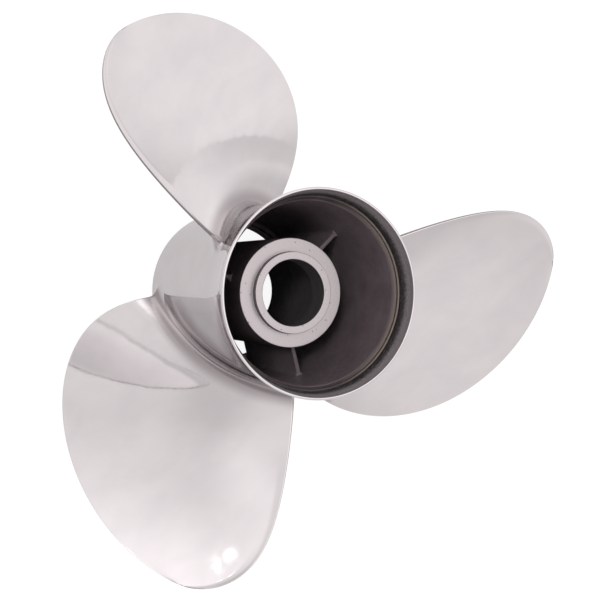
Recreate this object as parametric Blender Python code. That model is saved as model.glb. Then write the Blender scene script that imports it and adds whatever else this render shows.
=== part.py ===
# Three-blade polished stainless outboard propeller, exhaust through the hub.
# Metres, +Z along the shaft axis towards the aft end. It stands on the front end of its barrel.
import bpy
import bmesh
import math

MM = 0.001

# Driving sizes of the propeller, in millimetres and degrees
DIAMETER = 368.0            # over the blade tips, 14.5 inch
PITCH = 432.0               # advance in one turn, 17 inch
BLADES = 3
GAP = 0.3                   # left between nodes that meet

# Barrel, the outer hub that the blades grow from
BARREL_LENGTH = 156.0       # front end to aft rim, the diffuser ring included
FRONT_OD = 108.0            # 4.25 inch, the common gearcase size
TAPER_OD = 113.2            # where the cone of the outside would end at the rim, with no flare
FLARE_Z = 112.0             # where the outside starts to flare
RING_Z = 141.5              # where the diffuser ring starts
FRONT_ID = 102.6            # inner wall, which the casting's draft opens towards the aft end
THROAT_ID = 109.2           # at the joint to the diffuser ring
FRONT_BORE = 91.0           # opening of the front lip
LIP_STEP_BORE = 96.0
LIP_INNER_Z = 5.0           # aft face of the inner band of the lip
LIP_OUTER_Z = 8.0           # aft face of the outer band of the lip
FRONT_CHAMFER = 1.0

# Diffuser ring, the flared aft end
RIM_OD = 123.4
RIM_ID = 120.0
SHOULDER_DEPTH = 12.0       # depth of the inner shoulder below the rim
SHOULDER_OD = 115.4         # outer edge of the shoulder, at the bottom of the flared inner face

# Inner hub, held by the ribs
HUB_FRONT_Z = 9.0
HUB_AFT_Z = 111.2
HUB_OD_AFT = 67.0
HUB_OD_FRONT = 66.2
MAIN_BORE = 59.0            # bore of the drive bushing, open to the front
MAIN_BORE_END = 56.6        # the same bore, drawn in at its end
WEB = 14.0                  # thickness of the aft end wall
AFT_BORE = 40.6
SEAT_OD = 49.8              # raised machined seat round the aft bore
SEAT_HEIGHT = 4.0
HUB_CHAMFER = 0.8

# Ribs between the inner hub and the barrel
RIB_ANGLE = 8.0             # direction of the first rib from +X
RIB_THICK = 2.6
RIB_FILLET = 2.4
RIB_FRONT_Z = 12.0
RIB_AFT_Z = 94.0

# Blades: the aft face is a helical surface, raked aft, cut to the outline below
TIP_ANGLE = 90.0            # direction of the first blade's tip from +X
FACE_Z = 63.2               # height of the aft face on the axis, at the tip's angle less TIP_LAG
TIP_LAG = 14.5              # degrees from the generator line to the tip
RAKE = 0.2438               # rise of the generator line per millimetre of radius
RAKE_BOW = 0.000177         # slight bow of the generator line, per millimetre
RAKE_BOW_R = 120.0
LEAD_SWEEP = 78.9           # degrees, leading edge: size and shape of the curve
LEAD_P = 0.947
LEAD_Q = 1.901
LEAD_BULGE = 7.54
TRAIL_SWEEP = 21.65         # degrees, trailing edge
TRAIL_P = 4.17
TRAIL_Q = 1.722
TRAIL_BULGE = 2.46
OUTLINE_R0 = 58.8           # radius where the bulge of both edges starts
ROOT_THICK = 12.0
TIP_THICK = 3.0
EDGE_THICK = 1.5
ROOT_FILLET = 8.0
CUP_WIDTH = 10.0            # strip along the trailing edge that curls aft
CUP_DEPTH = 1.5             # how far the face lies below the trailing edge, inside that strip
CAMBER = 0.016              # hollow of the aft face in mid-chord, as a part of the chord

# Mesh fineness
ROUND = 96
SPAN_ROWS = 22
CHORD_COLS = 26
CAP_COLS = 6

TIP_R = DIAMETER / 2
C = PITCH / (2 * math.pi)   # rise of the face per radian


def make_material(name, colour, metallic, roughness):
    mat = bpy.data.materials.new(name)
    mat.use_nodes = True
    shader = mat.node_tree.nodes["Principled BSDF"]
    shader.inputs["Base Color"].default_value = (*colour, 1.0)
    shader.inputs["Metallic"].default_value = metallic
    shader.inputs["Roughness"].default_value = roughness
    return mat


def add_object(name, verts, faces, mat):
    mesh = bpy.data.meshes.new(name)
    mesh.from_pydata([(x * MM, y * MM, z * MM) for x, y, z in verts], [], faces)
    mesh.materials.append(mat)
    obj = bpy.data.objects.new(name, mesh)
    bpy.context.scene.collection.objects.link(obj)
    bm = bmesh.new()
    bm.from_mesh(mesh)
    bmesh.ops.recalc_face_normals(bm, faces=bm.faces)
    bm.to_mesh(mesh)
    bm.free()
    return obj


def turned(name, profile, mat):
    """A closed profile of (radius, z) points, turned about the shaft axis."""
    verts = []
    faces = []
    n = len(profile)
    for i in range(ROUND):
        a = 2 * math.pi * i / ROUND
        for r, z in profile:
            verts.append((r * math.cos(a), r * math.sin(a), z))
    for i in range(ROUND):
        k = (i + 1) % ROUND
        for j in range(n):
            m = (j + 1) % n
            faces.append((i * n + j, k * n + j, k * n + m, i * n + m))
    return add_object(name, verts, faces, mat)


def barrel_outer(z):
    """Radius of the barrel's outside at a height: a slight cone, then the flare to the rim."""
    cone = FRONT_OD / 2 + (TAPER_OD - FRONT_OD) / 2 * z / BARREL_LENGTH
    flare = max((z - FLARE_Z) / (BARREL_LENGTH - FLARE_Z), 0.0)
    return cone + (RIM_OD - TAPER_OD) / 2 * flare ** 2


def barrel_inner(z):
    return FRONT_ID / 2 + (THROAT_ID - FRONT_ID) / 2 * z / RING_Z


def hub_outer(z):
    t = (z - HUB_FRONT_Z) / (HUB_AFT_Z - HUB_FRONT_Z)
    return HUB_OD_FRONT / 2 + (HUB_OD_AFT - HUB_OD_FRONT) / 2 * t


def build_barrel(mat):
    top = RING_Z - GAP / 2
    lip = FRONT_BORE / 2
    step = LIP_STEP_BORE / 2
    profile = [
        (lip, FRONT_CHAMFER),
        (lip + FRONT_CHAMFER, 0.0),
        (FRONT_OD / 2 - FRONT_CHAMFER, 0.0),
        (barrel_outer(FRONT_CHAMFER), FRONT_CHAMFER),
        (barrel_outer(FLARE_Z), FLARE_Z),
        (barrel_outer(FLARE_Z + 10), FLARE_Z + 10),
        (barrel_outer(FLARE_Z + 18), FLARE_Z + 18),
        (barrel_outer(FLARE_Z + 24), FLARE_Z + 24),
        (barrel_outer(top), top),
        (barrel_inner(top), top),
        (barrel_inner(LIP_OUTER_Z + 1.2), LIP_OUTER_Z + 1.2),
        (barrel_inner(LIP_OUTER_Z) - 1.0, LIP_OUTER_Z),
        (step, LIP_OUTER_Z),
        (step, LIP_INNER_Z),
        (lip, LIP_INNER_Z),
    ]
    return turned("barrel", profile, mat)


def build_diffuser_ring(mat):
    """The outside runs on to the rim. The inside has a shoulder, then opens out to the rim."""
    low = RING_Z + GAP / 2
    shoulder_z = BARREL_LENGTH - SHOULDER_DEPTH
    outer = []
    for i in range(7):
        z = low + (BARREL_LENGTH - 0.5 - low) * i / 6
        outer.append((barrel_outer(z), z))
    rim = [(RIM_OD / 2 - 0.4, BARREL_LENGTH)]
    inner = []
    for i in range(6):
        t = i / 5
        z = BARREL_LENGTH - SHOULDER_DEPTH * t
        r = SHOULDER_OD / 2 + (RIM_ID - SHOULDER_OD) / 2 * (1 - t) ** 1.6
        inner.append((r, z))
    foot = [(barrel_inner(low) + 0.8, shoulder_z - 0.4), (barrel_inner(low), shoulder_z - 1.2)]
    foot.append((barrel_inner(low), low))
    return turned("diffuser_ring", outer + rim + inner + foot, mat)


def build_inner_hub(mat):
    seat_z = HUB_AFT_Z + SEAT_HEIGHT
    web_z = HUB_AFT_Z - WEB
    profile = [
        (MAIN_BORE / 2, HUB_FRONT_Z + HUB_CHAMFER),
        (MAIN_BORE / 2 + HUB_CHAMFER, HUB_FRONT_Z),
        (HUB_OD_FRONT / 2 - HUB_CHAMFER, HUB_FRONT_Z),
        (hub_outer(HUB_FRONT_Z + HUB_CHAMFER), HUB_FRONT_Z + HUB_CHAMFER),
        (hub_outer(HUB_AFT_Z - HUB_CHAMFER), HUB_AFT_Z - HUB_CHAMFER),
        (HUB_OD_AFT / 2 - HUB_CHAMFER, HUB_AFT_Z),
        (SEAT_OD / 2, HUB_AFT_Z),
        (SEAT_OD / 2, seat_z - 0.3),
        (SEAT_OD / 2 - 0.3, seat_z),
        (AFT_BORE / 2 + 0.5, seat_z),
        (AFT_BORE / 2, seat_z - 0.5),
        (AFT_BORE / 2, web_z),
        (MAIN_BORE_END / 2, web_z),
    ]
    return turned("inner_hub", profile, mat)


def rib_section(z):
    """Cross-section of a rib along +X, wider at both ends where it runs into the walls."""
    r0 = hub_outer(z) + GAP
    r1 = barrel_inner(z) - GAP
    half = RIB_THICK / 2
    stations = []
    for i in range(5):
        t = i / 4
        widen = RIB_FILLET * (1 - math.sqrt(1 - (1 - t) ** 2 * 0.75))
        stations.append((r0 + RIB_FILLET * t, widen))
    for i in range(5):
        t = i / 4
        widen = RIB_FILLET * (1 - math.sqrt(1 - t ** 2 * 0.75))
        stations.append((r1 - RIB_FILLET * (1 - t), widen))
    points = []
    for r, extra in stations:
        y = half + extra
        x = math.sqrt(r * r - y * y)
        points.append((x, y))
    return points + [(x, -y) for x, y in reversed(points)]


def build_rib(index, mat):
    """Lofted straight from its front edge to its aft edge."""
    angle = math.radians(RIB_ANGLE + 360.0 / BLADES * index)
    verts = []
    levels = (RIB_FRONT_Z, RIB_AFT_Z)
    for z in levels:
        for x, y in rib_section(z):
            across = x * math.cos(angle) - y * math.sin(angle)
            along = x * math.sin(angle) + y * math.cos(angle)
            verts.append((across, along, z))
    n = len(verts) // 2
    faces = [tuple(range(n)), tuple(range(2 * n - 1, n - 1, -1))]
    for j in range(n):
        k = (j + 1) % n
        faces.append((j, k, n + k, n + j))
    return add_object("rib_%d" % (index + 1), verts, faces, mat)


def edge_angles(r):
    """Angles of the leading and trailing edge from the generator line, in degrees."""
    rho = min(r / TIP_R, 1.0)
    w = min(max((r - OUTLINE_R0) / (TIP_R - OUTLINE_R0), 0.0), 1.0)
    bulge = math.sin(math.pi * w)
    lead = TIP_LAG - LEAD_SWEEP * (1 - rho ** LEAD_P) ** (1 / LEAD_Q) - LEAD_BULGE * bulge
    trail = TIP_LAG + TRAIL_SWEEP * (1 - rho ** TRAIL_P) ** (1 / TRAIL_Q) - TRAIL_BULGE * bulge
    return lead, trail


def face_z(r, angle):
    """Height of the aft face at a radius and an angle in radians from the generator line."""
    return FACE_Z + RAKE * r - RAKE_BOW * (r - RAKE_BOW_R) ** 2 + C * angle


def face_drop(r, s, chord):
    """Drop of the face between its edges: the camber, and the cup inside the trailing edge."""
    outward = min(max((r - FRONT_OD / 2) / (TIP_R - FRONT_OD / 2) / 0.35, 0.0), 1.0)
    width = min(CUP_WIDTH, 0.4 * chord)
    inside = min((1 - s) * chord / max(width, 0.1), 1.0)
    cup = CUP_DEPTH * s * (1 - (1 - inside) ** 2)
    return outward * (cup + CAMBER * chord * 4 * s * (1 - s))


def section_thickness(r, s):
    """Thickness at a radius, at a part s of the chord from the leading edge."""
    span = (r - FRONT_OD / 2) / (TIP_R - FRONT_OD / 2)
    span = min(max(span, 0.0), 1.0)
    full = ROOT_THICK + (TIP_THICK - ROOT_THICK) * span ** 0.7
    edge = EDGE_THICK * (1 - 0.2 * span)
    return edge + (full - edge) * 4 * s * (1 - s)


def fillet_width(height):
    """How far the root fillet stands out from the blade at a height over the barrel."""
    h = min(max(height, 0.0), ROOT_FILLET)
    return ROOT_FILLET - math.sqrt(ROOT_FILLET ** 2 - (ROOT_FILLET - h) ** 2)


def blade_point(r, s, depth):
    """Cylindrical coordinates of a point: depth 0 on the aft face, 1 on the front face."""
    lead, trail = edge_angles(r)
    slope = C / r
    norm = math.sqrt(1 + slope * slope)
    base = face_z(r, math.radians(lead + (trail - lead) * s))
    flare = fillet_width(r - barrel_outer(base))
    extra = math.degrees(flare / (r * norm))
    lead -= extra
    trail += extra
    angle = math.radians(lead + (trail - lead) * s)
    chord = math.radians(trail - lead) * r * norm
    thick = section_thickness(r, s)
    end = min(min(s, 1 - s) * chord / (flare + 2.0), 1.0)
    flare *= math.sqrt(1 - (1 - end) ** 2)
    down = face_drop(r, s, chord) - flare + (thick + 2 * flare) * depth
    return angle + down * slope / (norm * r), face_z(r, angle) - down / norm


def root_radius(s, depth):
    """Radius where the blade meets the barrel, found by repeated trial."""
    r = FRONT_OD / 2 + 2.0
    for _ in range(12):
        z = blade_point(r, s, depth)[1]
        r = barrel_outer(z) + GAP
    return r


def build_blade(index, mat):
    """A grid over each face, closed at the edges and tip, with a cap that follows the barrel."""
    start = math.radians(TIP_ANGLE - TIP_LAG + 360.0 / BLADES * index)
    verts = []

    def put(r, s, depth):
        angle, z = blade_point(r, s, depth)
        a = start + angle
        verts.append((r * math.cos(a), r * math.sin(a), z))
        return len(verts) - 1

    def station(row, s, depth):
        root = root_radius(s, depth)
        return root + (TIP_R * 0.9995 - root) * (0.5 - 0.5 * math.cos(math.pi * row / SPAN_ROWS))

    columns = [0.5 - 0.5 * math.cos(math.pi * j / CHORD_COLS) for j in range(CHORD_COLS + 1)]
    grids = []
    for depth in (0.0, 1.0):
        grid = []
        for row in range(SPAN_ROWS + 1):
            grid.append([put(station(row, s, depth), s, depth) for s in columns])
        grids.append(grid)
    aft, front = grids
    cap = [aft[0]]
    for k in range(1, CAP_COLS):
        depth = k / CAP_COLS
        cap.append([put(root_radius(s, depth), s, depth) for s in columns])
    cap.append(front[0])
    faces = []
    for i in range(SPAN_ROWS):
        for j in range(CHORD_COLS):
            faces.append((aft[i][j], aft[i + 1][j], aft[i + 1][j + 1], aft[i][j + 1]))
            faces.append((front[i][j], front[i][j + 1], front[i + 1][j + 1], front[i + 1][j]))
    for j in (0, CHORD_COLS):
        foot = [row[j] for row in cap]
        faces.append(tuple(foot + [front[1][j], aft[1][j]]))
        for i in range(1, SPAN_ROWS):
            faces.append((aft[i][j], front[i][j], front[i + 1][j], aft[i + 1][j]))
    for j in range(CHORD_COLS):
        faces.append((aft[-1][j], front[-1][j], front[-1][j + 1], aft[-1][j + 1]))
    for k in range(CAP_COLS):
        for j in range(CHORD_COLS):
            faces.append((cap[k][j], cap[k + 1][j], cap[k + 1][j + 1], cap[k][j + 1]))
    return add_object("blade_%d" % (index + 1), verts, faces, mat)


def main():
    for obj in list(bpy.data.objects):
        bpy.data.objects.remove(obj)
    polished = make_material("polished_stainless", (0.72, 0.71, 0.70), 1.0, 0.12)
    black = make_material("black_painted_casting", (0.03, 0.03, 0.03), 0.3, 0.45)
    machined = make_material("machined_stainless", (0.60, 0.58, 0.57), 1.0, 0.35)
    build_barrel(polished)
    build_diffuser_ring(polished)
    build_inner_hub(machined)
    for index in range(BLADES):
        build_rib(index, black)
    for index in range(BLADES):
        build_blade(index, polished)


main()
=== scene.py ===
import bpy
import math
import numpy as np
from mathutils import Matrix, Vector


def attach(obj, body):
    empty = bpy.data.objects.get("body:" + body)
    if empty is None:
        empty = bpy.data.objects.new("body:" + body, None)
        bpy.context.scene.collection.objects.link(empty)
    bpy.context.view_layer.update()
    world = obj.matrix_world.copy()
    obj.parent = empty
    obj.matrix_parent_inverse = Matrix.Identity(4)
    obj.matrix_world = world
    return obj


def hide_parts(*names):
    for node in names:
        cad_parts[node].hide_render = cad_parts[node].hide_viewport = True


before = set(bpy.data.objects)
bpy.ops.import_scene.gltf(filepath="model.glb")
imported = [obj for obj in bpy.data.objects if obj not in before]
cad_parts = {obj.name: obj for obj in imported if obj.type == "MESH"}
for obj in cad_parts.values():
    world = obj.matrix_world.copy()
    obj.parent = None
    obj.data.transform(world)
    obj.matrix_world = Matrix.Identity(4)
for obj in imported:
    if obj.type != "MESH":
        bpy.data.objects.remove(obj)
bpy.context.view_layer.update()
mm = 0.001
tiny = 1e-6                                                      # keeps a length of zero out of a division

# Sizes that the walls, ribs and blades share, in millimetres
walls = {
    "length": 156.0, "frontOuter": 54.0, "taperOuter": 56.6, "rimOuter": 61.7, "flareFrom": 112.0,
    "frontInner": 51.3, "throatInner": 54.6, "throatZ": 141.5,
    "hubFrontZ": 9.0, "hubAftZ": 111.2, "hubFront": 33.1, "hubAft": 33.5,
}


def between(low, high, share):
    return low + (high - low) * share


def barrelOutside(z):
    cone = between(walls["frontOuter"], walls["taperOuter"], z / walls["length"])
    flare = np.maximum((z - walls["flareFrom"]) / (walls["length"] - walls["flareFrom"]), 0)
    return cone + (walls["rimOuter"] - walls["taperOuter"]) * flare ** 2


def barrelInside(z):
    return between(walls["frontInner"], walls["throatInner"], z / walls["throatZ"])


def hubOutside(z):
    along = (z - walls["hubFrontZ"]) / (walls["hubAftZ"] - walls["hubFrontZ"])
    return between(walls["hubFront"], walls["hubAft"], along)


# Small tools

def linearColour(code):
    parts = [int(code[i:i + 2], 16) / 255 for i in (1, 3, 5)]
    return [p / 12.92 if p <= 0.04045 else ((p + 0.055) / 1.055) ** 2.4 for p in parts] + [1.0]


def directionOf(azimuth, elevation):
    a, e = math.radians(azimuth), math.radians(elevation)
    return (math.cos(e) * math.cos(a), math.cos(e) * math.sin(a), math.sin(e))


def addNode(tree, kind, settings=None, values=None, links=None):
    node = tree.nodes.new("ShaderNode" + kind)
    for name, value in (settings or {}).items():
        setattr(node, name, value)
    for name, value in (values or {}).items():
        node.inputs[name].default_value = value
    for name, source in (links or {}).items():
        tree.links.new(source, node.inputs[name])
    return node


def newFinish(name, colour, metallic, roughness):
    mat = bpy.data.materials.new(name)
    mat.use_nodes = True
    shader = mat.node_tree.nodes["Principled BSDF"]
    shader.inputs["Base Color"].default_value = linearColour(colour)
    shader.inputs["Metallic"].default_value = metallic
    shader.inputs["Roughness"].default_value = roughness
    return mat, mat.node_tree, shader


def startPiece(name):
    # the new primitive becomes a piece whose place is in its mesh
    piece = bpy.context.object
    piece.name = name
    piece.data.name = name
    bpy.ops.object.transform_apply(location=True, rotation=True, scale=True)
    return piece


def closeUp(piece, smoothTo):
    # merges what meets, turns the faces outward and smooths all but the sharp edges
    bpy.ops.object.mode_set(mode="EDIT")
    bpy.ops.mesh.select_all(action="SELECT")
    bpy.ops.mesh.remove_doubles(threshold=0.001 * mm)
    bpy.ops.mesh.normals_make_consistent(inside=False)
    bpy.ops.object.mode_set(mode="OBJECT")
    bpy.ops.object.shade_smooth_by_angle(angle=math.radians(smoothTo))


def dress(piece, nodes, slot, *finishes):
    for finish in finishes:
        piece.data.materials.append(finish)
    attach(piece, "root")
    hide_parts(*nodes)


def copyRound(piece, name, turn):
    # a copy with its own mesh, turned about the shaft axis
    twin = piece.copy()
    twin.data = piece.data.copy()
    twin.name = name
    twin.data.name = name
    bpy.context.scene.collection.objects.link(twin)
    twin.data.transform(Matrix.Rotation(math.radians(turn), 4, "Z"))
    return twin


# Finishes

def twoTone(tree, pattern, dark, pale, low=0.3, high=0.7):
    # the pattern's low places in the dark colour, running into the pale one at its high places
    share = addNode(tree, "MapRange", values={"From Min": low, "From Max": high}, links={"Value": pattern})
    mixed = addNode(tree, "Mix", {"data_type": "RGBA"}, {"A": linearColour(dark), "B": linearColour(pale)},
                    {"Factor": share.outputs["Result"]})
    return mixed.outputs["Result"]


def shaftDistance(tree, place):
    flat = addNode(tree, "VectorMath", {"operation": "MULTIPLY"}, {1: (1.0, 1.0, 0.0)}, {0: place})
    radius = addNode(tree, "VectorMath", {"operation": "LENGTH"}, links={0: flat.outputs["Vector"]})
    return radius.outputs["Value"]


def rootShare(tree, place):
    # 1 over a blade's root fillet, fading out 5 to 15 mm above the barrel and at the fillet's foot
    height = addNode(tree, "SeparateXYZ", links={"Vector": place})
    skin = addNode(tree, "MapRange",
                   values={"From Max": walls["length"] * mm, "To Min": walls["frontOuter"] * mm,
                           "To Max": walls["taperOuter"] * mm},
                   links={"Value": height.outputs["Z"]})         # the cone's radius at this height
    above = addNode(tree, "Math", {"operation": "SUBTRACT"},
                    links={0: shaftDistance(tree, place), 1: skin.outputs["Result"]})
    upper = addNode(tree, "MapRange", {"interpolation_type": "SMOOTHSTEP"},
                    {"From Min": 15 * mm, "From Max": 5 * mm}, {"Value": above.outputs["Value"]})
    lower = addNode(tree, "MapRange", {"interpolation_type": "SMOOTHSTEP"},
                    {"From Min": 0.1 * mm, "From Max": 2 * mm}, {"Value": above.outputs["Value"]})
    root = addNode(tree, "Math", {"operation": "MULTIPLY"},
                   links={0: upper.outputs["Result"], 1: lower.outputs["Result"]})
    return root.outputs["Value"]


def polishedStainless(name, isBlade):
    # cast stainless steel, ground and then buffed: a mirror over a skin that the grinding left slightly
    # wavy, and more satin in a blade's root fillet, where the buffing wheel doesn't reach; the fillet's
    # colour is painted darker there as painted shade and dark reflection
    mat, tree, shader = newFinish(name, "#cdcacb", 1.0, 0.07)
    place = addNode(tree, "TexCoord").outputs["Object"]
    waves = addNode(tree, "TexNoise", values={"Scale": 1 / (34 * mm), "Detail": 2.0, "Roughness": 0.45},
                    links={"Vector": place})                     # about 34 mm from wave to wave
    lean = addNode(tree, "Mapping", values={"Rotation": (0.5, 0.3, 0.9), "Scale": (1.0, 1.7, 1.2)},
                   links={"Vector": place})
    clouds = addNode(tree, "TexNoise",                           # haze in leaning streaks 2 to 4 cm wide
                     values={"Scale": 1 / (34 * mm), "Detail": 3.0, "Roughness": 0.5, "Distortion": 0.35},
                     links={"Vector": lean.outputs["Vector"]})
    stretch = addNode(tree, "Mapping", values={"Scale": (1.0, 1.0, 14.0)}, links={"Vector": place})
    lines = addNode(tree, "TexNoise",                            # buffing lines, drawn 1 mm wide to show
                    values={"Scale": 1 / (16 * mm), "Detail": 5.0, "Roughness": 0.7},
                    links={"Vector": stretch.outputs["Vector"]})
    colour = twoTone(tree, clouds.outputs["Fac"], "#cbc9ca", "#d1d0d0")
    rough = addNode(tree, "MapRange",
                    values={"From Min": 0.35, "From Max": 0.7, "To Min": 0.05, "To Max": 0.10},
                    links={"Value": lines.outputs["Fac"]}).outputs["Result"]
    if isBlade:
        root = rootShare(tree, place)
        # the fillet painted darker: painted shade and dark reflection in the root fillet
        filletShade = addNode(tree, "Mix", {"data_type": "RGBA"}, {"B": linearColour("#a19b9c")},
                       {"Factor": root, "A": colour})
        rougher = {1: 0.10}                                      # added at the fillet
        satin = addNode(tree, "Math", {"operation": "MULTIPLY_ADD"}, rougher, {0: root, 2: rough})
        colour, rough = filletShade.outputs["Result"], satin.outputs["Value"]
    tree.links.new(colour, shader.inputs["Base Color"])
    tree.links.new(rough, shader.inputs["Roughness"])
    wavy = addNode(tree, "Bump", values={"Strength": 1.0, "Distance": 0.22 * mm},
                   links={"Height": waves.outputs["Fac"]})
    buffed = addNode(tree, "Bump", values={"Strength": 1.0, "Distance": 0.002 * mm},
                     links={"Height": lines.outputs["Fac"], "Normal": wavy.outputs["Normal"]})
    tree.links.new(buffed.outputs["Normal"], shader.inputs["Normal"])
    return mat


def edgeShadeStainless():
    # stainless steel dressed on a belt grinder and left so along the blade's trailing edge: dull, with
    # fine cross marks, and its colour painted darker so that the edge shows a dark line: painted shade
    mat, tree, shader = newFinish("edgeShadeStainless", "#8d8586", 1.0, 0.36)
    place = addNode(tree, "TexCoord").outputs["Object"]
    marks = addNode(tree, "TexNoise", values={"Scale": 1 / (0.9 * mm), "Detail": 3.0, "Roughness": 0.7},
                    links={"Vector": place})                     # belt marks of 0.3 mm, drawn at 0.9 mm
    tree.links.new(twoTone(tree, marks.outputs["Fac"], "#837b7c", "#979090"), shader.inputs["Base Color"])
    scored = addNode(tree, "Bump", values={"Strength": 1.0, "Distance": 0.01 * mm},
                     links={"Height": marks.outputs["Fac"]})
    tree.links.new(scored.outputs["Normal"], shader.inputs["Normal"])
    return mat


def machinedStainless():
    # stainless steel faced in a lathe and left so: matte, with rings from the tool and a fine grain
    mat, tree, shader = newFinish("machinedStainless", "#bdb4b3", 1.0, 0.42)
    place = addNode(tree, "TexCoord").outputs["Object"]
    feed = 2 * math.pi / (0.7 * mm)                              # real feed 0.2 mm, drawn 0.7 mm to show
    turns = addNode(tree, "Math", {"operation": "MULTIPLY"}, {1: feed}, {0: shaftDistance(tree, place)})
    rings = addNode(tree, "Math", {"operation": "SINE"}, links={0: turns.outputs["Value"]})
    grain = addNode(tree, "TexNoise", values={"Scale": 1 / (1.1 * mm), "Detail": 3.0, "Roughness": 0.65},
                    links={"Vector": place})                     # grain of about 1 mm
    colour = twoTone(tree, grain.outputs["Fac"], "#b4afb0", "#c3bfc0", 0.32, 0.68)
    holes = addNode(tree, "TexVoronoi", values={"Scale": 1 / (4 * mm)}, links={"Vector": place})
    speck = addNode(tree, "MapRange",                            # a few casting pores of 0.5 mm
                    values={"From Min": 0.06, "From Max": 0.11, "To Min": 1.0, "To Max": 0.0},
                    links={"Value": holes.outputs["Distance"]})
    pored = addNode(tree, "Mix", {"data_type": "RGBA"}, {"B": linearColour("#4a4344")},
                    {"Factor": speck.outputs["Result"], "A": colour})
    tree.links.new(pored.outputs["Result"], shader.inputs["Base Color"])
    rough = addNode(tree, "MapRange",
                    values={"From Min": 0.3, "From Max": 0.7, "To Min": 0.36, "To Max": 0.52},
                    links={"Value": grain.outputs["Fac"]})
    tree.links.new(rough.outputs["Result"], shader.inputs["Roughness"])
    cut = addNode(tree, "Bump", values={"Strength": 1.0, "Distance": 0.006 * mm},
                  links={"Height": rings.outputs["Value"]})
    pits = addNode(tree, "Bump", values={"Strength": 1.0, "Distance": 0.014 * mm},
                   links={"Height": grain.outputs["Fac"], "Normal": cut.outputs["Normal"]})
    tree.links.new(pits.outputs["Normal"], shader.inputs["Normal"])
    return mat


def blackPaint(name, dark, pale, litAndShadedLedge=None):
    # baked black enamel, sprayed over the cast surface: half gloss, with the spray's orange peel, and on
    # the ledges painted lighter on one side, where the photograph shows it: painted light on the side that
    # faces the snoot
    mat, tree, shader = newFinish(name, dark, 0.0, 0.38)
    place = addNode(tree, "TexCoord").outputs["Object"]
    peel = addNode(tree, "TexNoise", values={"Scale": 1 / (2.4 * mm), "Detail": 2.0, "Roughness": 0.5},
                   links={"Vector": place})                      # orange peel of 2 to 3 mm
    cast = addNode(tree, "TexNoise", values={"Scale": 1 / (13 * mm), "Detail": 3.0, "Roughness": 0.55},
                   links={"Vector": place})                      # the casting's own unevenness
    colour = twoTone(tree, cast.outputs["Fac"], dark, pale)
    if litAndShadedLedge:
        # painted light: lighter on the ledges' side that faces the snoot
        litSide = (0.81, -0.59, 0.0)
        facing = addNode(tree, "VectorMath", {"operation": "DOT_PRODUCT"}, {1: litSide}, {0: place})
        litShare = addNode(tree, "MapRange", {"interpolation_type": "SMOOTHSTEP"},
                       {"From Min": 10 * mm, "From Max": 50 * mm}, {"Value": facing.outputs["Value"]})
        bareAndLit = addNode(tree, "Mix", {"data_type": "RGBA"}, {"B": linearColour(litAndShadedLedge)},
                       {"Factor": litShare.outputs["Result"], "A": colour})
        colour = bareAndLit.outputs["Result"]
    tree.links.new(colour, shader.inputs["Base Color"])
    gloss = addNode(tree, "MapRange",
                    values={"From Min": 0.3, "From Max": 0.7, "To Min": 0.32, "To Max": 0.46},
                    links={"Value": peel.outputs["Fac"]})
    tree.links.new(gloss.outputs["Result"], shader.inputs["Roughness"])
    uneven = addNode(tree, "Bump", values={"Strength": 1.0, "Distance": 0.10 * mm},
                     links={"Height": cast.outputs["Fac"]})
    orange = addNode(tree, "Bump", values={"Strength": 1.0, "Distance": 0.02 * mm},
                     links={"Height": peel.outputs["Fac"], "Normal": uneven.outputs["Normal"]})
    tree.links.new(orange.outputs["Normal"], shader.inputs["Normal"])
    return mat


def shadedBoreSteel():
    # the bore as it comes from boring and washing: dull steel with turning marks round it, its colour
    # painted dark as the bore's shade
    mat, tree, shader = newFinish("boredSteelPaintedShade", "#4a4948", 0.6, 0.55)
    place = addNode(tree, "TexCoord").outputs["Object"]
    flatten = addNode(tree, "Mapping", values={"Scale": (0.12, 0.12, 1.0)}, links={"Vector": place})
    marks = addNode(tree, "TexNoise",                            # real marks of 0.3 mm, drawn at 1.6 mm
                    values={"Scale": 1 / (1.6 * mm), "Detail": 2.0, "Roughness": 0.6},
                    links={"Vector": flatten.outputs["Vector"]})
    tree.links.new(twoTone(tree, marks.outputs["Fac"], "#545051", "#666262"), shader.inputs["Base Color"])
    scored = addNode(tree, "Bump", values={"Strength": 1.0, "Distance": 0.03 * mm},
                     links={"Height": marks.outputs["Fac"]})
    tree.links.new(scored.outputs["Normal"], shader.inputs["Normal"])
    return mat


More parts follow.
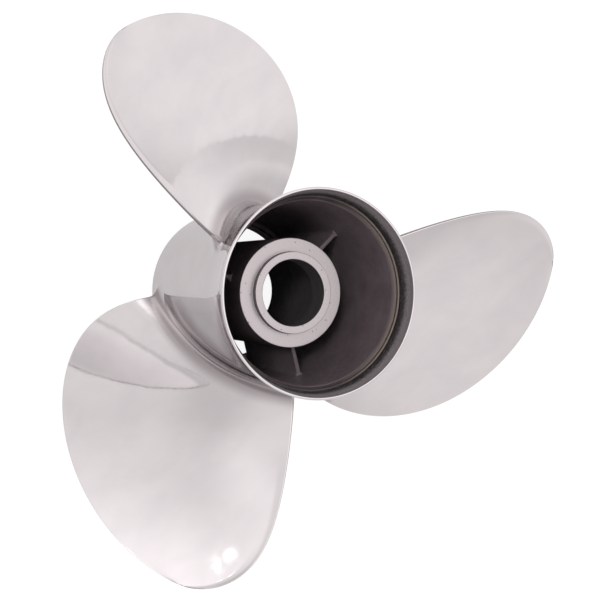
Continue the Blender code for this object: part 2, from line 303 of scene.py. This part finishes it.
def oversprayedShadedSteel():
    # satin ground stainless steel at the rim, with the black enamel's spray thinning out over it in
    # fine specks; the colour darkening down the flare to its foot is both the overspray and painted shade
    # of the recess
    mat, tree, shader = newFinish("oversprayedShadedStainless", "#8f8889", 0.8, 0.42)
    place = addNode(tree, "TexCoord").outputs["Object"]
    height = addNode(tree, "SeparateXYZ", links={"Vector": place})
    rim = walls["length"]
    # darker deeper into the flare: overspray and painted shade together
    fade = addNode(tree, "MapRange", {"interpolation_type": "SMOOTHSTEP"},
                   {"From Min": (rim - 9.5) * mm, "From Max": (rim - 0.5) * mm},
                   {"Value": height.outputs["Z"]})
    specks = addNode(tree, "TexNoise", values={"Scale": 1 / (1.3 * mm), "Detail": 3.0, "Roughness": 0.7},
                     links={"Vector": place})                    # specks near 0.5 mm, drawn at 1 mm
    lift = addNode(tree, "MapRange",
                   values={"From Min": 0.3, "From Max": 0.7, "To Min": -0.2, "To Max": 0.2},
                   links={"Value": specks.outputs["Fac"]})
    cover = addNode(tree, "Math", {"operation": "ADD", "use_clamp": True},
                    links={0: fade.outputs["Result"], 1: lift.outputs["Result"]})
    colour = addNode(tree, "Mix", {"data_type": "RGBA"},
                     {"A": linearColour("#1f1b1b"), "B": linearColour("#ada6a8")},
                     {"Factor": cover.outputs["Value"]})
    tree.links.new(colour.outputs["Result"], shader.inputs["Base Color"])
    bareAndLit = addNode(tree, "MapRange", values={"To Min": 0.0, "To Max": 0.85},
                   links={"Value": cover.outputs["Value"]})
    tree.links.new(bareAndLit.outputs["Result"], shader.inputs["Metallic"])
    grain = addNode(tree, "Bump", values={"Strength": 1.0, "Distance": 0.02 * mm},
                    links={"Height": specks.outputs["Fac"]})
    tree.links.new(grain.outputs["Normal"], shader.inputs["Normal"])
    return mat


steel = polishedStainless("polishedStainless", isBlade=False)
bladeSteel = polishedStainless("polishedBladeStainless", isBlade=True)
edgeShadeFinish = edgeShadeStainless()
machined = machinedStainless()
paint = blackPaint("blackEnamel", "#51484a", "#60575a")
# the ledges' enamel: painted darker than the walls' as painted shade, and painted lighter on the snoot's
# side as painted light
ledgeLightAndShade = blackPaint("ledgeEnamelLitAndShaded", "#2a2425", "#3a3233", "#5f5650")
oversprayAndShade = oversprayedShadedSteel()
boreShade = shadedBoreSteel()
print("finishes made")


# Turned pieces: a circle at the first ring, drawn along the profile by extrude and resize

turning = {"sides": 256, "cornerSteps": 5, "guard": 0.25, "smoothTo": 50}


def roundedRings(corners):
    # corners: radius, height, rounding and finish of the face that follows, round a closed profile
    steps = turning["cornerSteps"]
    guard = turning["guard"]                                     # a ring this far on keeps long faces flat
    rings = []
    for i, (r, z, rounding, finish) in enumerate(corners):
        if rounding == 0:
            rings.append((r, z, finish))
            continue
        here = np.array([r, z])
        back = np.array(corners[i - 1][:2]) - here
        ahead = np.array(corners[(i + 1) % len(corners)][:2]) - here
        backLength, aheadLength = np.linalg.norm(back), np.linalg.norm(ahead)
        back, ahead = back / backLength, ahead / aheadLength
        half = math.acos(np.clip(back @ ahead, -1, 1)) / 2
        tangent = rounding / math.tan(half)
        middle = here + (back + ahead) / np.linalg.norm(back + ahead) * rounding / math.sin(half)
        before = corners[i - 1][3]
        if backLength > 2 * (tangent + guard):
            rings.append((*(here + back * (tangent + guard)), before))
        start = here + back * tangent - middle
        stop = here + ahead * tangent - middle
        sweep = math.pi - 2 * half
        for k in range(steps + 1):
            a, b = math.sin(sweep * (1 - k / steps)), math.sin(sweep * k / steps)
            point = middle + (start * a + stop * b) / math.sin(sweep)
            rings.append((*point, before if k < steps / 2 else finish))
        if aheadLength > 2 * (tangent + guard):
            rings.append((*(here + ahead * (tangent + guard)), finish))
    return rings


def turnPiece(name, corners):
    rings = roundedRings(corners)
    bpy.ops.object.select_all(action="DESELECT")
    bpy.ops.mesh.primitive_circle_add(vertices=turning["sides"], radius=rings[0][0] * mm,
                                      location=(0, 0, rings[0][1] * mm))
    piece = startPiece(name)
    bpy.ops.object.mode_set(mode="EDIT")
    bpy.ops.mesh.select_mode(type="VERT")
    bpy.ops.mesh.select_all(action="SELECT")
    for old, new in zip(rings, rings[1:]):
        bpy.ops.mesh.extrude_region_move(TRANSFORM_OT_translate={"value": (0, 0, (new[1] - old[1]) * mm)})
        grow = new[0] / old[0]
        bpy.ops.transform.resize(value=(grow, grow, 1), center_override=(0, 0, 0))
    bpy.ops.mesh.select_non_manifold(extend=False, use_wire=False, use_boundary=True,
                                     use_multi_face=False, use_non_contiguous=False, use_verts=False)
    bpy.ops.mesh.bridge_edge_loops()                             # closes the profile, last ring to first
    bpy.ops.object.mode_set(mode="OBJECT")
    closeUp(piece, turning["smoothTo"])
    after = rings[1:] + rings[:1]
    middles = np.array([((a[0] + b[0]) / 2, (a[1] + b[1]) / 2) for a, b in zip(rings, after)]) * mm
    for face in piece.data.polygons:                             # each face takes its own ring's finish
        spot = face.center
        near = np.hypot(middles[:, 0] - math.hypot(spot.x, spot.y), middles[:, 1] - spot.z)
        face.material_index = rings[int(near.argmin())][2]
    return piece


# Barrel with its flared aft ring, one skin from the front lip to the rim

barrel = {
    "lipBore": 45.5, "lipStep": 48.0, "lipInnerZ": 5.0, "lipOuterZ": 8.0,
    "outerRings": (20, 40, 60, 80, 100, 108), "flareRings": 20, "flareEnd": 1.2,
    "rimOuterEdge": 0.9, "rimInnerEdge": 0.4,
    "rimInner": 60.0, "shoulderOuter": 57.7, "shoulderDepth": 12.0, "shoulderCurve": 1.6,
    "shoulderRings": 12, "shoulderSpan": (0.12, 0.92),
    "grooveDepth": 0.9, "grooveWidth": 0.5, "draft": 0.1,
    "upperLedge": 56.2, "upperSlope": 0.8, "stepDown": 2.1, "lowerLedge": 55.1, "ledgeSlope": 1.5,
    "throatDrop": 1.6, "innerRings": (120, 80, 40),
}


def makeBarrel():
    outer, inner, flared, litAndShadedLedge = range(4)                      # polished, enamel, oversprayed, ledges
    top = walls["length"]
    corners = [
        (barrel["lipBore"], 0.0, 0.5, outer),
        (barrelOutside(0.0), 0.0, 0.8, outer),
    ]
    flareHeights = np.linspace(walls["flareFrom"], top - barrel["flareEnd"], barrel["flareRings"])
    for z in (*barrel["outerRings"], *flareHeights):
        corners.append((barrelOutside(z), z, 0, outer))
    corners.append((walls["rimOuter"], top, barrel["rimOuterEdge"], outer))
    corners.append((barrel["rimInner"], top, barrel["rimInnerEdge"], flared))
    shoulder = barrel["shoulderOuter"]
    for along in np.linspace(*barrel["shoulderSpan"], barrel["shoulderRings"]):
        r = between(shoulder, barrel["rimInner"], (1 - along) ** barrel["shoulderCurve"])
        corners.append((r, top - barrel["shoulderDepth"] * along, 0, flared))
    ledge = top - barrel["shoulderDepth"]
    groove = ledge - barrel["grooveDepth"]
    grooveInner = shoulder - barrel["grooveWidth"]
    step = ledge - barrel["stepDown"]
    slope = step - barrel["ledgeSlope"]
    throat = slope - barrel["throatDrop"]
    corners += [                                                 # groove, upper ledge, step, lower ledge
        # the groove and the step take the flare's finish, nearly black this deep: painted shade in the
        # groove and on the step
        (shoulder, groove, 0.2, flared),
        (grooveInner, groove, 0.15, flared),
        # the ledges take the enamel painted dark as shade and lighter on the snoot's side as painted light
        (grooveInner - barrel["draft"], ledge, 0.2, litAndShadedLedge),
        (barrel["upperLedge"], ledge - barrel["upperSlope"], 0.3, flared),
        (barrel["upperLedge"] - barrel["draft"], step, 0.2, litAndShadedLedge),
        (barrel["lowerLedge"], slope, 0.5, inner),
        (barrelInside(throat), throat, 0.8, inner),
    ]
    for z in barrel["innerRings"]:
        corners.append((barrelInside(z), z, 0, inner))
    corners += [
        (barrelInside(barrel["lipOuterZ"]), barrel["lipOuterZ"], 1.2, inner),
        (barrel["lipStep"], barrel["lipOuterZ"], 0.4, inner),
        (barrel["lipStep"], barrel["lipInnerZ"], 0.5, inner),
        (barrel["lipBore"], barrel["lipInnerZ"], 0.4, inner),
    ]
    piece = turnPiece("barrelShell", corners)
    dress(piece, ["barrel", "diffuser_ring"], "polished_stainless", steel, paint, oversprayAndShade, ledgeLightAndShade)


makeBarrel()
print("barrel turned")


# Inner hub: painted outside, faced bright on its aft end and raised seat, dull in its bores, whose dark
# colour is painted shade

innerHub = {
    "mainBore": 29.5, "mainBoreEnd": 28.3, "web": 14.0, "aftBore": 20.3,
    "seatOuter": 24.9, "seatHeight": 4.0, "edge": 0.5, "middleRing": 60,
}


def makeInnerHub():
    bright, dark, bore = range(3)                                # faced, enamel, bored
    front, face = walls["hubFrontZ"], walls["hubAftZ"]
    seat = face + innerHub["seatHeight"]
    webFront = face - innerHub["web"]
    corners = [
        (innerHub["mainBore"], front, 0.6, dark),
        (walls["hubFront"], front, 0.6, dark),
        (hubOutside(innerHub["middleRing"]), innerHub["middleRing"], 0, dark),
        (walls["hubAft"], face, innerHub["edge"], bright),
        # the seat's side wall takes the dark enamel: a dark ring round the bright seat
        (innerHub["seatOuter"], face, 0.35, dark),
        (innerHub["seatOuter"], seat, 0.3, bright),
        (innerHub["aftBore"], seat, innerHub["edge"], bore),
        (innerHub["aftBore"], webFront, 0.5, bore),
        (innerHub["mainBoreEnd"], webFront, 0.8, bore),
    ]
    piece = turnPiece("innerHub", corners)
    dress(piece, ["inner_hub"], "machined_stainless", machined, paint, boreShade)


makeInnerHub()
print("inner hub turned")


# Ribs: a plate from hub to barrel, spread at both ends where it runs into the walls

rib = {
    "angle": 8.0, "thick": 2.6, "frontZ": 12.0, "aftZ": 94.0, "sink": 0.8,
    "fillet": 2.4, "filletTurn": 76.5, "filletSteps": 6, "round": 0.5, "roundSteps": 5, "smoothTo": 40,
}


def pickVertices(piece, test):
    bpy.ops.mesh.select_all(action="DESELECT")
    bpy.ops.object.mode_set(mode="OBJECT")
    for vertex in piece.data.vertices:
        vertex.select = test(vertex.co / mm)
    bpy.ops.object.mode_set(mode="EDIT")


def pushOut(distance):
    bpy.ops.mesh.extrude_region_move(TRANSFORM_OT_translate={"value": (distance * mm, 0, 0)})


def makeRibs():
    low, high = rib["frontZ"], rib["aftZ"]
    near = hubOutside(low) + rib["fillet"]
    far = barrelInside(low) - rib["fillet"]
    middle = (near + far) / 2
    slack = 0.01                                                 # finds the vertices of one end or level
    bpy.ops.object.select_all(action="DESELECT")
    bpy.ops.mesh.primitive_cube_add(size=1, location=(middle * mm, 0, (low + high) / 2 * mm),
                                    scale=((far - near) * mm, rib["thick"] * mm, (high - low) * mm))
    piece = startPiece("rib1")
    bpy.ops.object.mode_set(mode="EDIT")
    bpy.ops.mesh.select_mode(type="VERT")
    turns = np.radians(np.linspace(0, rib["filletTurn"], rib["filletSteps"] + 1))
    for end, way in ((far, 1), (near, -1)):                      # each end spreads, then sinks in
        pickVertices(piece, lambda co: abs(co.x - end) < slack)
        width = rib["thick"]
        for before, turn in zip(turns, turns[1:]):
            pushOut(way * rib["fillet"] * (math.sin(turn) - math.sin(before)))
            wider = rib["thick"] + 2 * rib["fillet"] * (1 - math.cos(turn))
            bpy.ops.transform.resize(value=(1, wider / width, 1), center_override=(0, 0, 0))
            width = wider
        pushOut(way * rib["sink"])
    drafts = ((1, barrelInside(high) - barrelInside(low)), (-1, hubOutside(high) - hubOutside(low)))
    for side, draft in drafts:                                   # both walls open out towards the aft end
        pickVertices(piece, lambda co: (co.x - middle) * side > 0 and co.z > (low + high) / 2)
        bpy.ops.transform.translate(value=(draft * mm, 0, 0))
    for level in (low, high):
        pickVertices(piece, lambda co: abs(co.z - level) < slack)
        bpy.ops.mesh.select_mode(type="EDGE")
        bpy.ops.mesh.region_to_loop()
        bpy.ops.mesh.bevel(offset=rib["round"] * mm, segments=rib["roundSteps"], affect="EDGES")
        bpy.ops.mesh.select_mode(type="VERT")
    bpy.ops.object.mode_set(mode="OBJECT")
    closeUp(piece, rib["smoothTo"])
    piece.data.transform(Matrix.Rotation(math.radians(rib["angle"]), 4, "Z"))
    pieces = [piece, copyRound(piece, "rib2", 120), copyRound(piece, "rib3", 240)]
    for i, each in enumerate(pieces):
        dress(each, ["rib_%d" % (i + 1)], "black_painted_casting", paint)


makeRibs()
print("ribs made")


# Blades: a screw surface can't be pushed out of a primitive by hand, so a grid is wrapped round the
# blade's section and its points are placed by the pitch, the rake and the outline

blade = {
    "tipRadius": 184.0, "pitch": 432.0, "tipAngle": 90.0, "tipLag": 14.5, "faceZ": 63.2,
    "rake": 0.2438, "rakeBow": 0.000177, "rakeBowAt": 120.0,
    "leadSweep": 78.9, "leadP": 0.947, "leadQ": 1.901, "leadBulge": 7.54,
    "trailSweep": 21.65, "trailP": 4.17, "trailQ": 1.722, "trailBulge": 2.46, "bulgeFrom": 58.8,
    "rootThick": 12.0, "tipThick": 3.0, "thinning": 0.7,
    "edgeThick": 2.2, "edgeAtTip": 0.8, "edgeAtLead": 0.7, "edgeRound": 0.6,
    "camber": 0.012, "rollOff": 0.012, "rollWidth": 0.45, "bendFull": 0.35,
    "cupWidth": 5.5, "cupMost": 0.4, "cupLeast": 0.1, "cupDepth": 0.9, "cupFrom": 0.2, "cupFull": 0.6,
    "rootRadius": 58.0, "fillet": 8.0, "filletLift": 0.015, "swellReach": 2.0,
    "skirt": 0.8, "skirtLift": 0.01, "capDepth": 0.7,
    "capRows": 4, "filletRows": 14, "spanRows": 140, "chordColumns": 80,
    "edgeColumns": (0, 0.01, 0.04, 0.1, 0.19, 0.3, 0.44, 0.6, 1.0, 1.6), "shortChord": 8.0,
    "settleRounds": 14, "edgeShadeColumns": (-4, 7), "smoothTo": 40,
}


def edgeAngles(r):
    rho = np.clip(r / blade["tipRadius"], 0, 1)
    along = np.clip((r - blade["bulgeFrom"]) / (blade["tipRadius"] - blade["bulgeFrom"]), 0, 1)
    bulge = np.sin(math.pi * along)
    lead = (blade["tipLag"] - blade["leadSweep"] * (1 - rho ** blade["leadP"]) ** (1 / blade["leadQ"])
            - blade["leadBulge"] * bulge)
    trail = (blade["tipLag"] + blade["trailSweep"] * (1 - rho ** blade["trailP"]) ** (1 / blade["trailQ"])
             - blade["trailBulge"] * bulge)
    return np.radians(lead), np.radians(trail)


def spanOf(r):
    return np.clip((r - walls["frontOuter"]) / (blade["tipRadius"] - walls["frontOuter"]), 0, 1)


def onBlade(r, s, side, flare, roundness):
    # s runs from the leading edge, 0, to the trailing edge, 1; side 0 is the aft face and 1 the front
    # face; flare widens the section in the root fillet; roundness is 0 on the edge line and 1 inward
    rise = blade["pitch"] / (2 * math.pi)
    lead, trail = edgeAngles(r)
    slope = rise / r
    norm = np.sqrt(1 + slope ** 2)
    spread = flare / (r * norm)
    lead, trail = lead - spread, trail + spread
    angle = lead + (trail - lead) * s
    chord = (trail - lead) * r * norm
    span = spanOf(r)
    edge = blade["edgeThick"] * between(1, blade["edgeAtTip"], span) * between(blade["edgeAtLead"], 1, s)
    full = between(blade["rootThick"], blade["tipThick"], span ** blade["thinning"])
    thick = between(edge, full, 4 * s * (1 - s))
    ends = np.clip(np.minimum(s, 1 - s) * chord / (flare + blade["swellReach"]), 0, 1)
    swell = flare * np.sqrt(1 - (1 - ends) ** 2)
    strip = np.clip(blade["cupMost"] * chord, blade["cupLeast"], blade["cupWidth"])
    inside = np.clip((1 - s) * chord / strip, 0, 1)
    cup = blade["cupDepth"] * s * (1 - (1 - inside) ** 2)
    roll = np.clip(1 - s / blade["rollWidth"], 0, 1) ** 2 - (1 - s)
    bend = chord * (blade["camber"] * 3 * s ** 2 * (1 - s) + blade["rollOff"] * roll)
    outward = np.clip((span - blade["cupFrom"]) / (blade["cupFull"] - blade["cupFrom"]), 0, 1)
    hollow = np.clip(span / blade["bendFull"], 0, 1) * bend + cup * outward ** 2 * (3 - 2 * outward)
    down = hollow + edge / 2 * (1 - roundness) - swell + (thick * roundness + 2 * swell) * side
    face = (blade["faceZ"] + blade["rake"] * r - blade["rakeBow"] * (r - blade["rakeBowAt"]) ** 2
            + rise * angle)
    return angle + down * slope / (norm * r), face - down / norm, chord


def rootAt(s, side, flare, height, roundness):
    r = np.full_like(s, walls["taperOuter"] + height)
    for _ in range(blade["settleRounds"]):                       # settles where the blade meets the barrel
        r = barrelOutside(onBlade(r, s, side, flare, roundness)[1]) + height
    return r


def chordAt(r, flare):
    return float(onBlade(np.array(r), np.array(0.5), 0, flare, 1.0)[2])


def spanSteps():
    return np.sin(math.pi / 2 * np.linspace(0, 1, blade["spanRows"] + 1))


def sectionColumns(chord):
    # close together over the rounded edges, then spaced evenly round a half circle between them
    shrink = min(chord / blade["shortChord"], 1.0)
    near = np.array(blade["edgeColumns"]) * shrink / max(chord, tiny)
    inner = 0.5 - 0.5 * np.cos(math.pi * np.arange(1, blade["chordColumns"]) / blade["chordColumns"])
    inner = near[-1] + (1 - 2 * near[-1]) * inner
    return np.concatenate([near, inner, 1 - near[::-1]])


def edgeRoundness(distance):
    return np.sqrt(1 - (1 - np.clip(distance / blade["edgeRound"], 0, 1)) ** 2)


def cylinderPoint(r, angle, z):
    return np.stack([r * np.cos(angle), r * np.sin(angle), z], axis=-1)


def edgeLine():
    # the blade's edge, out along the leading side and back along the trailing one
    sides = []
    for s in (np.array([0.0]), np.array([1.0])):
        base = rootAt(s, 0, 0.0, blade["fillet"] + blade["filletLift"], 0.0)
        r = between(base, blade["tipRadius"], spanSteps())
        angle, z, _ = onBlade(r, s, 0, 0.0, 0.0)
        sides.append(cylinderPoint(r, angle, z))
    return np.concatenate([sides[0], sides[1][::-1]])


def distanceToLine(points, line):
    best = np.full(len(points), np.inf)
    for start, leg in zip(line, np.diff(line, axis=0)):
        along = np.clip(((points - start) @ leg) / max(leg @ leg, tiny ** 2), 0, 1)
        best = np.minimum(best, np.linalg.norm(points - start - along[:, None] * leg, axis=1))
    return best


def bladeRows():
    # each row's columns, flare, height above the barrel, depth below the aft face as a share of the
    # thickness, and place from the root, 0, to the tip, 1
    radius, lift = blade["fillet"], blade["filletLift"]
    skirt = radius + blade["skirt"]
    wide = sectionColumns(chordAt(blade["rootRadius"], radius))
    rows = []
    for k in range(blade["capRows"], -1, -1):                    # the cap inside the barrel's wall
        rows.append((wide, skirt, -blade["capDepth"], 0.5 * k / blade["capRows"], 0.0))
    rows.append((wide, skirt, blade["skirtLift"], 0.0, 0.0))     # a skirt that lies on the barrel's skin
    for k in range(blade["filletRows"]):
        turn = math.pi / 2 * k / blade["filletRows"]
        rows.append((wide, radius * (1 - math.sin(turn)), lift + radius * (1 - math.cos(turn)), 0.0, 0.0))
    base = rootAt(np.array([0.5]), 0, 0.0, radius + lift, 1.0)[0]
    for along in spanSteps():
        chord = chordAt(between(base, blade["tipRadius"], along), 0.0)
        rows.append((sectionColumns(chord), 0.0, radius + lift, 0.0, along))
    return rows


def bladeGrid():
    nearTip = 0.9                                                # from here the tip's edge is near as well
    rows = bladeRows()
    line = edgeLine()
    sheets = []
    for side in (0, 1):
        sheet = []
        for columns, flare, height, inward, along in rows:
            depth = abs(side - inward)
            r = between(rootAt(columns, depth, flare, height, 1.0), blade["tipRadius"], along)
            angle, z, chord = onBlade(r, columns, 0, flare, 1.0)
            gap = np.minimum(columns, 1 - columns) * chord
            if along > nearTip:
                gap = np.minimum(gap, distanceToLine(cylinderPoint(r, angle, z), line))
            angle, z, _ = onBlade(r, columns, depth, flare, edgeRoundness(gap))
            sheet.append(cylinderPoint(r, angle, z))
        sheets.append(np.array(sheet))
    aft, front = sheets
    for column in (0, -1):                                       # the faces meet on one line at each edge
        aft[:, column] = front[:, column] = (aft[:, column] + front[:, column]) / 2
    return np.concatenate([aft, front[:, ::-1]], axis=1)


def makeBlades():
    points = bladeGrid() * mm
    rowCount, columnCount = points.shape[:2]
    bpy.ops.object.select_all(action="DESELECT")
    bpy.ops.mesh.primitive_grid_add(x_subdivisions=columnCount - 1, y_subdivisions=rowCount - 1, size=1)
    piece = startPiece("blade1")
    piece.data.vertices.foreach_set("co", points.ravel())
    piece.data.update()
    firstRow = rowCount - blade["spanRows"] - 1
    firstColumn, lastColumn = (columnCount // 2 + k for k in blade["edgeShadeColumns"])
    # these trailing-edge faces take the darker edge finish, painted shade along the edge
    for face in piece.data.polygons:                             # the trailing edge, from the fillet out
        rows = [v // columnCount for v in face.vertices]
        columns = [v % columnCount for v in face.vertices]
        if min(rows) >= firstRow and min(columns) >= firstColumn and max(columns) <= lastColumn:
            face.material_index = 1
    closeUp(piece, blade["smoothTo"])
    piece.data.transform(Matrix.Rotation(math.radians(blade["tipAngle"] - blade["tipLag"]), 4, "Z"))
    pieces = [piece, copyRound(piece, "blade2", 120), copyRound(piece, "blade3", 240)]
    for i, each in enumerate(pieces):
        dress(each, ["blade_%d" % (i + 1)], "polished_stainless", bladeSteel, edgeShadeFinish)


makeBlades()
print("blades made")


# Studio: a white floor as the photograph shows it, soft even surroundings, and the photograph's camera

studio = {
    "tint": "#fff9fa", "around": 0.855,
    "floorSize": 40.0,
    "floorWhite": {"drop": 0.02, "colour": "#616161", "glow": 0.93},
    "floorPale": {"drop": 0.04, "colour": "#a3a3a3"},
    "floorNear": 0.50, "floorFar": 0.19, "farReach": (0.16, 0.34),
    "floorPool": {"place": (0.10, 0.36, 0.0), "radius": 0.50, "core": 0.20, "gain": 0.56,
                  "reach": (0.17, 0.26)},
    "floorSide": {"azimuth": -36, "width": 65, "gain": 0.09},
    "dimSides": [                                                # azimuth, half width, share, reach
        (-150, 62, 0.30, (0.20, 0.45)),
        (-55, 50, 0.36, (0.18, 0.42)),
    ],
    "softBoxes": [                                               # azimuth, elevation, half width, gain
        (125, 42, 34, 0.27),
        (81, 63, 35, 0.26),
        (-32, 14, 32, 0.36),
        (-131, 29, 45, 0.23),
        (31, 18, 47, 0.21),
        (-13, 80, 43, 0.64),
        (141, 0, 34, -0.35),                                     # less light low on the camera's side
    ],
    "snoot": {"towards": (124, 58), "aim": (0.0, 0.0, 0.12), "distance": 1.1, "radius": 0.22,
              "cone": 13.0, "blend": 0.6, "power": 120.0},
    "tubes": {"towards": [(83.2, 63.2), (87.6, 61.2)], "aim": (-0.146, -0.074, 0.126), "distance": 1.5,
              "size": (0.012, 0.028), "power": 0.008},
    "camera": {"right": (0.737448, -0.539957, 0.40573), "up": (0.597343, 0.801768, -0.018706),
               "back": (-0.315201, 0.256154, 0.913802), "place": (-0.22885, 0.18058, 0.7808),
               "lens": 72.0, "sensor": 36.0, "nearest": 0.01},
}


def reachShare(tree, distance, reach):
    # 0 up to the first distance and 1 from the second on
    share = addNode(tree, "MapRange", {"interpolation_type": "SMOOTHSTEP"},
                    {"From Min": reach[0], "From Max": reach[1]}, {"Value": distance})
    return share.outputs["Result"]


def coneShare(tree, facing, towards, width, outside, inside, curve="SMOOTHSTEP"):
    # the outside value, running into the inside one within so many degrees of a direction
    along = addNode(tree, "VectorMath", {"operation": "DOT_PRODUCT"}, {1: directionOf(*towards)},
                    {0: facing})
    share = addNode(tree, "MapRange", {"interpolation_type": curve},
                    {"From Min": math.cos(math.radians(width)), "From Max": 1.0,
                     "To Min": outside, "To Max": inside}, {"Value": along.outputs["Value"]})
    return share.outputs["Result"]


def floorGlow(tree, shader):
    # the studio's lamps on the floor: even near the part, a bright pool on one side, brighter far off,
    # and dimmer far off on the sides that no lamp covers
    place = addNode(tree, "TexCoord").outputs["Object"]
    out = addNode(tree, "VectorMath", {"operation": "LENGTH"}, links={0: place}).outputs["Value"]
    facing = addNode(tree, "VectorMath", {"operation": "NORMALIZE"}, links={0: place}).outputs["Vector"]
    side, pool, far = studio["floorSide"], studio["floorPool"], studio["floorFar"]
    lift = coneShare(tree, facing, (side["azimuth"], 0), side["width"], far, far + side["gain"])
    outer = addNode(tree, "Math", {"operation": "MULTIPLY"},
                    links={0: reachShare(tree, out, studio["farReach"]), 1: lift})
    away = addNode(tree, "VectorMath", {"operation": "DISTANCE"}, {1: pool["place"]}, {0: place})
    spot = addNode(tree, "MapRange", {"interpolation_type": "SMOOTHERSTEP"},
                   {"From Min": pool["radius"], "From Max": pool["core"], "To Max": pool["gain"]},
                   {"Value": away.outputs["Value"]})
    lamp = addNode(tree, "Math", {"operation": "MULTIPLY_ADD"}, {2: studio["floorNear"]},
                   {0: spot.outputs["Result"], 1: reachShare(tree, out, pool["reach"])})
    total = addNode(tree, "Math", {"operation": "ADD"},
                    links={0: outer.outputs["Value"], 1: lamp.outputs["Value"]})
    under = addNode(tree, "Math", {"operation": "GREATER_THAN"}, {1: walls["frontOuter"] * mm}, {0: out})
    lit = addNode(tree, "Math", {"operation": "MULTIPLY"},       # none reaches the floor inside the barrel
                  links={0: total.outputs["Value"], 1: under.outputs["Value"]})
    for azimuth, width, share, reach in studio["dimSides"]:
        unlit = coneShare(tree, facing, (azimuth, 0), width, 0.0, share)
        shade = addNode(tree, "Math", {"operation": "MULTIPLY"},
                        links={0: unlit, 1: reachShare(tree, out, reach)})
        left = addNode(tree, "Math", {"operation": "SUBTRACT"}, {0: 1.0}, {1: shade.outputs["Value"]})
        lit = addNode(tree, "Math", {"operation": "MULTIPLY"},
                      links={0: lit.outputs["Value"], 1: left.outputs["Value"]})
    shader.inputs["Emission Color"].default_value = linearColour(studio["tint"])
    tree.links.new(lit.outputs["Value"], shader.inputs["Emission Strength"])


def makeFloors():
    # two sheets: the camera sees the white one, and light and reflections meet the pale one
    for name in ("floorWhite", "floorPale"):
        sheet = studio[name]
        bpy.ops.object.select_all(action="DESELECT")
        bpy.ops.mesh.primitive_plane_add(size=studio["floorSize"], location=(0, 0, -sheet["drop"] * mm))
        floor = startPiece(name)
        mat, tree, shader = newFinish(name, sheet["colour"], 0.0, 0.8)
        shader.inputs["Specular IOR Level"].default_value = 0.0
        if name == "floorWhite":
            shader.inputs["Emission Color"].default_value = linearColour("#ffffff")
            shader.inputs["Emission Strength"].default_value = sheet["glow"]
            floor.visible_diffuse = False
            floor.visible_glossy = False
            floor.visible_transmission = False
            floor.visible_shadow = False
        else:
            floor.visible_camera = False
            floorGlow(tree, shader)
        floor.data.materials.append(mat)


def makeSurroundings():
    world = bpy.data.worlds.new("studio")
    bpy.context.scene.world = world
    world.use_nodes = True
    tree = world.node_tree
    ground = tree.nodes["Background"]
    towards = addNode(tree, "TexCoord").outputs["Generated"]
    glows = [coneShare(tree, towards, (azimuth, elevation), width, 0.0, gain, "SMOOTHERSTEP")
             for azimuth, elevation, width, gain in studio["softBoxes"]]
    total = addNode(tree, "Math", {"operation": "ADD"}, {1: studio["around"]}, {0: glows[0]})
    for glow in glows[1:]:
        total = addNode(tree, "Math", {"operation": "ADD"}, links={0: glow, 1: total.outputs["Value"]})
    ground.inputs["Color"].default_value = linearColour(studio["tint"])
    tree.links.new(total.outputs["Value"], ground.inputs["Strength"])


def hangLight(name, data, towards, distance, aim):
    light = bpy.data.objects.new(name, data)
    way = Vector(directionOf(*towards))
    light.location = Vector(aim) + distance * way
    light.rotation_euler = way.to_track_quat("Z", "Y").to_euler()
    bpy.context.scene.collection.objects.link(light)
    return light


def makeLights():
    snoot, tubes = studio["snoot"], studio["tubes"]              # a narrow lamp into the barrel, two tubes
    data = bpy.data.lights.new("snoot", "SPOT")
    data.energy = snoot["power"]
    data.shadow_soft_size = snoot["radius"]
    data.spot_size = math.radians(snoot["cone"])
    data.spot_blend = snoot["blend"]
    lamp = hangLight("snoot", data, snoot["towards"], snoot["distance"], snoot["aim"])
    lamp.visible_glossy = False
    inside = bpy.data.collections.new("litBySnoot")              # it lights these and spares the rest
    for name in ("barrelShell", "innerHub", "rib1", "rib2", "rib3"):
        inside.objects.link(bpy.data.objects[name])
    lamp.light_linking.receiver_collection = inside
    for i, towards in enumerate(tubes["towards"]):               # they reflect as the bright pair of spots
        data = bpy.data.lights.new("tube%d" % (i + 1), "AREA")
        data.shape = "RECTANGLE"
        data.size, data.size_y = tubes["size"]
        data.energy = tubes["power"]
        hangLight("tube%d" % (i + 1), data, towards, tubes["distance"], tubes["aim"])


def makeCamera():
    view = studio["camera"]
    data = bpy.data.cameras.new("camera")
    data.lens = view["lens"]
    data.sensor_width = view["sensor"]
    data.clip_start = view["nearest"]
    camera = bpy.data.objects.new("camera", data)
    bpy.context.scene.collection.objects.link(camera)
    columns = [view[name] for name in ("right", "up", "back", "place")]
    camera.matrix_world = Matrix([*zip(*columns), (0, 0, 0, 1)])
    bpy.context.scene.camera = camera


makeFloors()
makeSurroundings()
makeLights()
makeCamera()
bpy.context.scene.view_settings.view_transform = "Standard"
print("studio lit")
